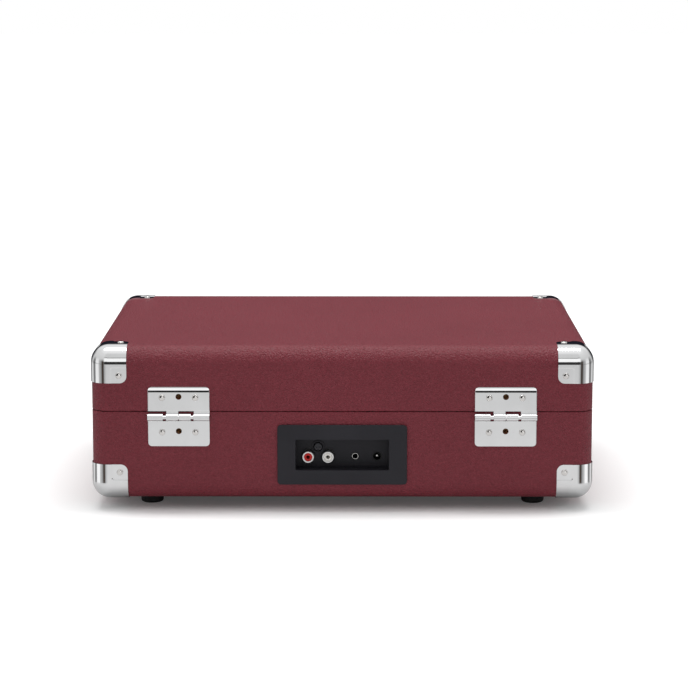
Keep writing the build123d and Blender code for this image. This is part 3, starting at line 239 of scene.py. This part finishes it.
def wood(name):
    s = Shader(name)
    grain = s.noise(40, 6.0, 0.65, 0.8, s.scaled(0.35, 6, 6))
    pores = s.noise(700, 3.0, 0.7, 0.0, s.scaled(0.1, 1, 1))
    s.colour(grain, [(0.25, srgb(150, 112, 74)), (0.55, srgb(186, 146, 101)), (0.8, srgb(205, 168, 124))])
    s.rough(pores, 0.6, 0.8)
    s.bump(grain, 0.0002, 0.4)
    s.bump(pores, 0.0001, 0.4)
    return s.mat


def felt(name, base, light):
    s = Shader(name)
    fibre = s.noise(1600, 5.0, 0.75, 1.2)
    clump = s.noise(160, 3.0)
    mix = s.math("ADD", s.math("MULTIPLY", fibre, 0.6), s.math("MULTIPLY", clump, 0.4))
    s.colour(mix, [(0.35, base), (0.65, light)])
    s.rough(fibre, 0.85, 1.0)
    s.bump(fibre, 0.0003, 0.8)
    return s.set(Sheen_Weight=0.35, Sheen_Roughness=0.5).mat


MAROON = srgb(118, 44, 54)
mats = {
    "leather": leatherette("burgundy_leatherette", MAROON, srgb(108, 38, 47), srgb(130, 53, 63)),
    "grip": leatherette("grip_leatherette", srgb(108, 46, 53), srgb(92, 36, 43), srgb(120, 55, 62), 0.8),
    "chrome": chrome("nickel_plate"),
    "rivet": chrome("rivet_nickel", (0.80, 0.78, 0.76), 0.04, 0.05),
    "sleeve": chrome("satin_nickel", (0.90, 0.90, 0.89), 0.30, 0.06),
    "steel": brushed("plain_steel", (0.62, 0.62, 0.63)),
    "dark_steel": brushed("blackened_steel", (0.055, 0.055, 0.06), 0.22, (1, 1, 1)),
    "thread": rubber("grip_thread", srgb(150, 92, 94)),
    "print": plastic("deck_print", srgb(196, 194, 188), 0.6, 1500, light=1.03),
    "charcoal": plastic("charcoal_plastic", srgb(32, 31, 37), 0.46, 1400),
    "black": plastic("black_plastic", srgb(24, 24, 26), 0.38, 1800),
    "deck": plastic("deck_plastic", srgb(30, 30, 32), 0.5, 900, 0.00010),
    "platter": plastic("platter_plastic", srgb(38, 38, 40), 0.4, 900),
    "gloss": plastic("gloss_plastic", srgb(22, 22, 24), 0.22, 600, 0.00001),
    "red": plastic("red_insulator", srgb(186, 26, 22), 0.3, 1400),
    "white": plastic("white_insulator", srgb(232, 230, 224), 0.32, 1400, light=1.02),
    "lamp": plastic("lamp_red", srgb(200, 36, 26), 0.12, 600, 0.00001),
    "pcb": plastic("board_green", srgb(26, 88, 52), 0.35, 500),
    "rubber": rubber("foot_rubber", srgb(26, 26, 27)),
    "belt": rubber("belt_rubber", srgb(20, 20, 21)),
    "wood": wood("raw_board"),
    "felt": felt("mat_felt", srgb(30, 30, 32), srgb(62, 62, 66)),
    "lining": felt("lid_flock", srgb(26, 25, 27), srgb(48, 46, 49)),
    "paper": felt("cone_paper", srgb(34, 32, 31), srgb(62, 59, 56)),
    "weight": brushed("weight_aluminium", (0.72, 0.72, 0.73), 0.26, (40, 1, 1)),
}
LOOKS = {
    "leather": ["base_covering", "lid_covering"],
    "grip": ["handle_grip"],
    "chrome": ["base_corners", "lid_corners", "hinge_leaves_base", "hinge_leaves_lid", "pivot_pins",
               "latch_plates", "latch_strikes", "latch_hasp_left", "latch_hasp_right", "handle_brackets",
               "handle_frame", "arm_tube"],
    "rivet": ["base_rivets", "lid_rivets"],
    "sleeve": ["rca_sleeves"],
    "dark_steel": ["screws"],
    "steel": ["spindle", "spindle_bush", "motor_can", "speaker_frames"],
    "charcoal": ["jack_bezel", "speaker_grilles", "arm_rest", "cue_bracket", "cue_lever", "lift_bar",
                 "arm_clip", "arm_gimbal", "tonearm_base", "adapter_45", "stylus"],
    "black": ["rca_block", "audio_jacks", "dc_jack", "headshell", "cartridge"],
    "deck": ["deck_plate"],
    "platter": ["platter", "motor_pulley"],
    "gloss": ["volume_knob", "source_knob", "speed_slide", "auto_stop_slide"],
    "red": ["rca_insulator_red"],
    "white": ["rca_insulator_white"],
    "lamp": ["power_light"],
    "pcb": ["circuit_boards"],
    "rubber": ["feet", "motor_grommets"],
    "belt": ["drive_belt"],
    "wood": ["base_box", "lid_box", "deck_battens"],
    "felt": ["slipmat"],
    "lining": ["lid_lining"],
    "paper": ["speaker_cones"],
    "weight": ["counterweight"],
}
for look, names in LOOKS.items():
    for name in names:
        data = nodes[name].data
        if not data.materials:
            data.materials.append(mats[look])
        for i in range(len(data.materials)):
            data.materials[i] = mats[look]


# ---------- added pieces ----------
def mesh_piece(name, verts, faces, material, body, smooth=True):
    data = bpy.data.meshes.new(name)
    data.from_pydata([tuple(v) for v in verts], [], faces)
    data.update()
    if smooth:
        data.shade_smooth()
    data.materials.append(mats[material])
    obj = bpy.data.objects.new(name, data)
    bpy.context.scene.collection.objects.link(obj)
    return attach(obj, body)


def lofted(rings):
    """Faces between rings of points that all have the same count, and over both ends."""
    verts = [v for ring in rings for v in ring]
    n = len(rings[0])
    faces = []
    for i in range(len(rings) - 1):
        for j in range(n):
            k = (j + 1) % n
            faces.append((i * n + j, i * n + k, (i + 1) * n + k, (i + 1) * n + j))
    faces.append(tuple(reversed(range(n))))
    faces.append(tuple((len(rings) - 1) * n + j for j in range(n)))
    return verts, faces


def turned_faces(sides, count):
    """Faces between copies of a closed profile of that many points, one copy for each side."""
    faces = []
    for i in range(sides):
        j = (i + 1) % sides
        for k in range(count):
            n = (k + 1) % count
            faces.append((i * count + k, j * count + k, j * count + n, i * count + n))
    return faces


def middle(node):
    """The centre of a node's box, and half its size."""
    low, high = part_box(node)
    return (low + high) / 2, (high - low) / 2


GRIP_SQUARENESS = 0.78                     # below 1 the grip's section is fuller than an oval
GRIP_SEAM = 51                             # degrees of each seam from the underside
SEAM_DEPTH = 0.045


def grip_section(angle):
    """The point of the grip's section at an angle, within 1 on both axes."""
    c, q = math.cos(angle), math.sin(angle)
    return math.copysign(abs(c) ** GRIP_SQUARENESS, c), math.copysign(abs(q) ** GRIP_SQUARENESS, q)


def handle_pad():
    """The grip: a stuffed leatherette roll, crowned along its length, puckered at its ends, stitched low."""
    centre, half = middle("handle_grip")
    rings, stations, around = [], 121, 72
    for i in range(stations):
        t = -1 + 2 * i / (stations - 1)
        end = max(0.0, (abs(t) - 0.90) / 0.10)
        cap = math.sqrt(max(0.0, 1 - 0.80 * end * end))
        crown = (0.93 + 0.065 * math.cos(t * math.pi / 2)) * cap
        ring = []
        for j in range(around):
            a = 2 * math.pi * j / around
            y, z = grip_section(a)
            pucker = 1 - 0.018 * max(0.0, (abs(t) - 0.72) / 0.28) * (1 + math.sin(13 * a + 3 * t)) / 2
            from_seams = (math.degrees(a) - 270 + GRIP_SEAM, math.degrees(a) - 270 - GRIP_SEAM)
            dip = sum(math.exp(-(turn / 5.0) ** 2) for turn in from_seams)
            sunk = 1 - SEAM_DEPTH * dip * (1 - end)
            ripple = 1 + 0.0035 * math.sin(t * 47 + 1.7 * math.sin(3 * a)) * math.cos(2 * a + t)
            size = crown * pucker * sunk * ripple
            x = centre.x + t * half.x * 0.995
            ring.append((x, centre.y + y * half.y * size, centre.z + z * half.z * size))
        rings.append(ring)
    verts, faces = lofted(rings)
    pad = mesh_piece("handle_pad", verts, faces, "grip", "handle")
    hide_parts("handle_grip")
    stitches(centre, half)


def stitches(centre, half):
    """Thread along both of the grip's seams: short rounded strands with a gap between them."""
    count, pitch, half_length, thread_r, arch = 20, 0.0032, 0.00115, 0.00033, 0.00022
    verts, faces = [], []
    for side in (-1, 1):
        y, z = grip_section(math.radians(270 + side * GRIP_SEAM))
        seam = Vector((0, y * half.y, z * half.z)) * 0.952
        out = seam.normalized()
        across = Vector((1, 0, 0)).cross(out)
        for i in range(count):
            x = (i - (count - 1) / 2) * pitch
            rings = []
            for k in range(7):
                u = -1 + 2 * k / 6
                r = thread_r * math.sqrt(max(0.02, 1 - u ** 4))
                mid = centre + seam + Vector((x + u * half_length, 0, 0)) + out * arch * (1 - u * u)
                rings.append([mid + (out * math.cos(b) + across * math.sin(b)) * r
                              for b in [math.pi * m / 4 for m in range(8)]])
            v, f = lofted(rings)
            faces += [tuple(n + len(verts) for n in face) for face in f]
            verts += v
    mesh_piece("grip_stitches", verts, faces, "thread", "handle")


def felt_mat():
    """The mat: a felt disc with softened edges, a little uneven, that lies on the platter."""
    centre, half = middle("slipmat")
    low, top = centre.z - half.z, centre.z + half.z
    hole, rim = 0.0042, half.x
    first, last = hole + 0.0003, rim - 0.0004
    radii = [hole, first]
    radii += [first + (last - first) * i / 40 for i in range(1, 41)]
    radii += [rim - 0.0001, rim]
    sides, verts = 160, []
    for i in range(sides):
        a = 2 * math.pi * i / sides
        profile = []
        for k, r in enumerate(radii):
            uneven = 0.00004 * (math.sin(5 * a + r * 190) + math.sin(11 * a - r * 90))
            from_edge = min(k, len(radii) - 1 - k)
            worn = (0.00030, 0.00008)[from_edge] if from_edge < 2 else 0.0
            profile.append((r, top - 0.00008 + uneven - worn))
        profile += [(r, low) for r in reversed(radii)]
        verts += [(centre.x + r * math.cos(a), centre.y + r * math.sin(a), z) for r, z in profile]
    mat = mesh_piece("felt_mat", verts, turned_faces(sides, 2 * len(radii)), "felt", "turntable")
    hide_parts("slipmat")


def deck_marks():
    """Printed marks: ticks round the volume knob and by the source knob, and lines by the two slides."""
    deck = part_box("deck_plate")[1].z
    verts, faces = [], []

    def bar(x, y, turn, length, width):
        along = Vector((math.sin(turn), math.cos(turn), 0)) * length / 2
        across = Vector((math.cos(turn), -math.sin(turn), 0)) * width / 2
        n = len(verts)
        for z, grow in ((deck - 0.00002, 1.0), (deck + 0.00005, 0.96)):
            verts.extend(Vector((x, y, z)) + (along * p + across * q) * grow
                         for p, q in ((-1, -1), (-1, 1), (1, 1), (1, -1)))
        faces.append((n + 7, n + 6, n + 5, n + 4))
        faces.extend((n + k, n + (k + 1) % 4, n + 4 + (k + 1) % 4, n + 4 + k) for k in range(4))

    for node, turns in (("volume_knob", range(-135, 136, 27)), ("source_knob", (-30, 0, 30))):
        centre, half = middle(node)
        for degrees in turns:
            a = math.radians(degrees)
            reach = half.x + 0.0026
            long = 0.0026 if degrees in (-135, 0, 135) else 0.0017
            bar(centre.x + reach * math.sin(a), centre.y + reach * math.cos(a), a, long, 0.0005)
    for node, spots in (("speed_slide", (0.0, 0.006, 0.012)), ("auto_stop_slide", (0.0, 0.006))):
        centre, half = middle(node)
        for dx in spots:
            bar(centre.x + dx, centre.y - half.y - 0.0028, 0.0, 0.0022, 0.0006)
    mesh_piece("deck_marks", verts, faces, "print", "base", smooth=False)


def along_y(name, x, z, profile, material, body, sides=40):
    """A piece turned about a level axis that runs front to back, from a closed profile of (radius, y)."""
    verts = []
    for i in range(sides):
        a = 2 * math.pi * i / sides
        verts += [(x + r * math.cos(a), y, z + r * math.sin(a)) for r, y in profile]
    faces = [tuple(reversed(face)) for face in turned_faces(sides, len(profile))]
    return mesh_piece(name, verts, faces, material, body)


POWER_X, AUDIO_X, SOCKET_Z = -0.0247, -0.0092, 0.0376


def socket_trim():
    """The bright contacts that show: a pin in the power inlet, and a ring in the audio socket."""
    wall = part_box("dc_jack")[1].y
    tip = wall - 0.0009
    pin = [(0.0, tip - 0.006), (0.00108, tip - 0.006), (0.00108, tip - 0.0005), (0.0009, tip - 0.0001),
           (0.0004, tip + 0.0001), (0.0, tip + 0.0001)]
    along_y("inlet_pin", POWER_X, SOCKET_Z, pin, "rivet", "base")
    face = wall + 0.0002
    ring = [(0.0018, face - 0.0002), (0.0018, face + 0.0002), (0.00195, face + 0.00035),
            (0.0022, face + 0.00035), (0.0024, face + 0.0001), (0.0024, face - 0.0002)]
    along_y("audio_ring", AUDIO_X, SOCKET_Z, ring, "rivet", "base")


handle_pad()
felt_mat()
deck_marks()
socket_trim()


# ---------- floor, light and camera ----------
# What polished metal sees round the horizon, from straight behind the case (0) to straight in front (1). The
# world gives it as lamps. The floor paints it into its colour for glossy rays as a painted reflection, with
# TABLE as the grey of that painted table.
TABLE = 0.64
DARK_GAP = (0.055, 0.042, 0.034)
ROUND = [(0.0, TABLE), (0.085, TABLE), (0.11, 0.52), (0.135, 0.30), (0.165, DARK_GAP), (0.205, DARK_GAP),
         (0.235, 0.25), (0.27, 0.38), (0.30, 0.46), (0.335, 0.58), (0.355, 0.92), (0.47, 0.92),
         (0.50, 0.22), (0.53, 0.18), (0.58, 0.27), (0.62, 0.6), (0.655, 0.84), (0.70, 0.5),
         (0.75, 0.24), (0.80, 0.24), (0.86, 0.60)]
# What it sees from the horizon (0) up to straight overhead (1), behind, in front, and at the sides.
BACK_LAMPS = [(0.0, 0.03), (0.11, 0.04), (0.145, 0.9), (0.18, 1.12), (0.48, 1.08), (0.505, 0.18),
              (0.535, 0.18), (0.56, 0.68), (0.82, 0.69), (0.90, 0.85), (0.97, 0.98)]
FRONT_LAMPS = [(0.0, (0.012, 0.012, 0.018)), (0.24, (0.014, 0.014, 0.022)), (0.34, 0.10), (0.52, 0.78),
               (0.67, 0.90), (0.88, 0.95), (0.97, 1.05)]
SIDE_LAMPS = [(0.0, 0.70), (0.45, 0.70), (0.80, 0.80), (0.97, 1.0)]
# The soft light on everything else, from the horizon up, from in front and from behind.
FRONT_SOFT = [(0.0, 0.30), (0.12, 0.20), (0.30, 0.18), (0.48, 0.45), (0.62, 0.85)]
BACK_SOFT = [(0.0, 0.55), (0.12, 0.38), (0.25, 0.25), (0.45, 0.45), (0.62, 0.85)]

FLOOR_REACH = 9.0
CORNER_AT = (0.165, 0.123)                 # the middle of the round of a back corner of the case
SENSOR, LENS = 36.0, 126.2093              # mm
CAMERA_PITCH = math.radians(9.40)


def floor():
    """A white floor. Its colour for glossy rays is a painted reflection: polished metal sees a lit table
    with darker gaps between the lamps round it. To the camera's own rays it glows, more away from the case:
    painted light.
    """
    r = FLOOR_REACH
    mesh = bpy.data.meshes.new("floor")
    mesh.from_pydata([(-r, -r, 0), (r, -r, 0), (r, r, 0), (-r, r, 0)], [], [(0, 1, 2, 3)])
    obj = bpy.data.objects.new("floor", mesh)
    bpy.context.scene.collection.objects.link(obj)
    s = Shader("floor_with_painted_bands_and_glow")
    s.set(Roughness=0.9, Specular_IOR_Level=0.0, Emission_Color=(1, 1, 1, 1))
    x, y, _ = s.split(s.place)

    def distance(a, b):
        return s.math("SQRT", s.math("ADD", s.math("MULTIPLY", a, a), s.math("MULTIPLY", b, b)))

    beside = s.math("SUBTRACT", s.math("ABSOLUTE", x), CORNER_AT[0])
    behind = s.math("SUBTRACT", y, CORNER_AT[1])
    turn = s.math("DIVIDE", s.math("ARCTAN2", beside, behind), math.pi, clamp=True)
    # Painted reflection: glossy rays see a grey table near the back corner, bands of lamps and dark gaps
    # round it, and a dark far end behind; other rays see the floor white.
    near = s.spread(distance(beside, behind), 0.0, 1.0, 0.05, 0.11)
    painted_table = s.mix(near, TABLE, s.ramp(turn, ROUND))
    painted_far_dark = s.math("MULTIPLY", s.spread(y, 0.0, 1.0, 0.86, 0.98), s.spread(turn, 1.0, 0.0, 0.10, 0.14))
    painted_reflection = s.mix(painted_far_dark, painted_table, 0.035)
    s.link(s.mix(s.ray_is("Is Glossy Ray"), 0.95, painted_reflection), s.bsdf.inputs["Base Color"])

    # Painted light: the floor glows to the camera's own rays, faintly near the case and more further off, so
    # it reads white round the case's shadow.
    from_middle = distance(x, y)
    painted_glow_ramp = s.spread(from_middle, 0.055, 0.34, 0.16, 0.55)
    painted_glow_far = s.spread(from_middle, 0.0, 0.25, 0.9, 3.0)
    lift = s.math("ADD", painted_glow_ramp, painted_glow_far)
    s.link(s.math("MULTIPLY", s.ray_is("Is Camera Ray"), lift), s.bsdf.inputs["Emission Strength"])
    mesh.materials.append(s.mat)


def world():
    """A light tent: soft light all round from above, and banks of lamps that polished metal reflects."""
    studio = bpy.data.worlds.new("studio")
    bpy.context.scene.world = studio
    studio.use_nodes = True
    w = Nodes(studio.node_tree)
    x, y, up = w.split(w.nt.nodes.new("ShaderNodeTexCoord").outputs["Generated"])
    turn = w.spread(w.math("ARCTAN2", w.math("ABSOLUTE", x), y), 0.0, 1.0, 0.0, math.pi)

    toward_back = w.spread(y, 0.0, 1.0, -0.25, 0.25)
    soft = w.mix(toward_back, w.ramp(up, FRONT_SOFT), w.ramp(up, BACK_SOFT))

    side = w.mix(w.spread(up, 0.0, 1.0, 0.10, 0.40), w.ramp(turn, ROUND), w.ramp(up, SIDE_LAMPS))
    lamps = w.mix(w.spread(turn, 0.0, 1.0, 0.12, 0.17), w.ramp(up, BACK_LAMPS), side)
    lamps = w.mix(w.spread(turn, 0.0, 1.0, 0.62, 0.78), lamps, w.ramp(up, FRONT_LAMPS))

    seen = w.mix(w.ray_is("Is Glossy Ray"), soft, lamps)
    w.link(w.mix(w.ray_is("Is Camera Ray"), seen, 1.0), w.nt.nodes["Background"].inputs["Color"])


def overhead():
    """A long soft lamp straight above the case."""
    data = bpy.data.lights.new("overhead", "AREA")
    data.shape = "RECTANGLE"
    data.size, data.size_y = 1.2, 0.35
    data.energy = 10.5
    obj = bpy.data.objects.new("overhead", data)
    bpy.context.scene.collection.objects.link(obj)
    obj.location = (0.0, 0.0, 1.3)
    obj.rotation_euler = Vector((0.0, 0.0, -1.2)).to_track_quat("-Z", "Y").to_euler()


def camera():
    data = bpy.data.cameras.new("camera")
    data.sensor_width = SENSOR
    data.lens = LENS
    cam = bpy.data.objects.new("camera", data)
    bpy.context.scene.collection.objects.link(cam)
    back_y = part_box("base_covering")[1].y
    cam.location = (-0.0082, back_y + 1.666, 0.396)
    view = Vector((0.0041, -math.cos(CAMERA_PITCH), -math.sin(CAMERA_PITCH)))
    cam.rotation_euler = view.to_track_quat("-Z", "Y").to_euler()
    bpy.context.scene.camera = cam


floor()
world()
overhead()
camera()
bpy.context.scene.view_settings.view_transform = "Standard"
